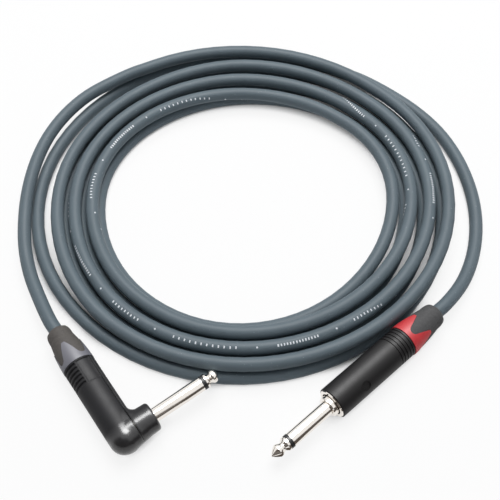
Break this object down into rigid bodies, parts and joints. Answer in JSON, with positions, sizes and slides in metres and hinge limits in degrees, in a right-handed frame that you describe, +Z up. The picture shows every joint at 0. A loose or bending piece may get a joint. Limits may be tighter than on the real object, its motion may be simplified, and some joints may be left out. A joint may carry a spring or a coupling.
{
  "type": "instrument cable",
  "caption": "Coiled instrument cable with a straight 6.35 mm plug with a sliding mute collar at one end and a right-angle 6.35 mm plug at the other.",
  "frame": {"origin": "on the surface the cable lies on, at the middle of the box round both plugs", "axes": "+Z up, +Y from the plugs to the coil, +X to the right with the plugs in front"},
  "size_m": [0.2253, 0.2347, 0.015],
  "materials": {
    "jacket": "matt jacket",
    "nickel": "nickel plated, bright",
    "insulator": "matt black",
    "white_insulator": "matt white",
    "brass": "plain",
    "magnet": "plain dark",
    "spring_steel": "plain wire",
    "switch_glass": "clear green",
    "shell": "satin black",
    "boot_dark": "matt dark grey",
    "code_red": "matt red",
    "core_red": "plain",
    "copper": "bare copper",
    "moulding": "semi gloss black",
    "boot_grey": "matt grey",
    "code_grey": "matt grey"
  },
  "bodies": {
    "cable": {"cable_coil": "jacket", "cable_lead_straight": "jacket", "cable_lead_angled": "jacket", "straight_tip": "nickel", "straight_tip_ring": "insulator", "straight_shank": "nickel", "straight_liner": "white_insulator", "straight_tip_rod": "brass", "straight_rear_washer": "white_insulator", "straight_tip_tag": "brass", "straight_ground_tag": "brass", "straight_collar_spring": "spring_steel", "straight_switch_carrier": "insulator", "straight_reed_switch": "switch_glass", "straight_front_ring": "nickel", "straight_shell": "shell", "straight_chuck": "white_insulator", "straight_boot": "boot_dark", "straight_code_ring": "code_red", "straight_cable_end": "jacket", "straight_core_wire": "core_red", "straight_shield_wire": "copper", "angled_tip": "nickel", "angled_tip_ring": "insulator", "angled_shank": "nickel", "angled_liner": "white_insulator", "angled_tip_rod": "brass", "angled_rear_washer": "white_insulator", "angled_tip_tag": "brass", "angled_ground_tag": "brass", "angled_housing": "moulding", "angled_cover": "moulding", "angled_chuck": "white_insulator", "angled_boot": "boot_grey", "angled_code_ring": "code_grey", "angled_cable_end": "jacket", "angled_core_wire": "core_red", "angled_shield_wire": "copper"},
    "mute_collar": {"straight_mute_collar": "nickel", "straight_magnet_ring": "magnet"}
  },
  "joints": [
    {"name": "mute_collar_slide", "type": "slide", "parent": "cable", "child": "mute_collar", "axis": [0.749, 0.6626, 0], "range_m": [0, 0.002], "stiffness_N_per_m": 400, "springref_m": -0.0015, "deforming": ["straight_collar_spring"]}
  ]
}
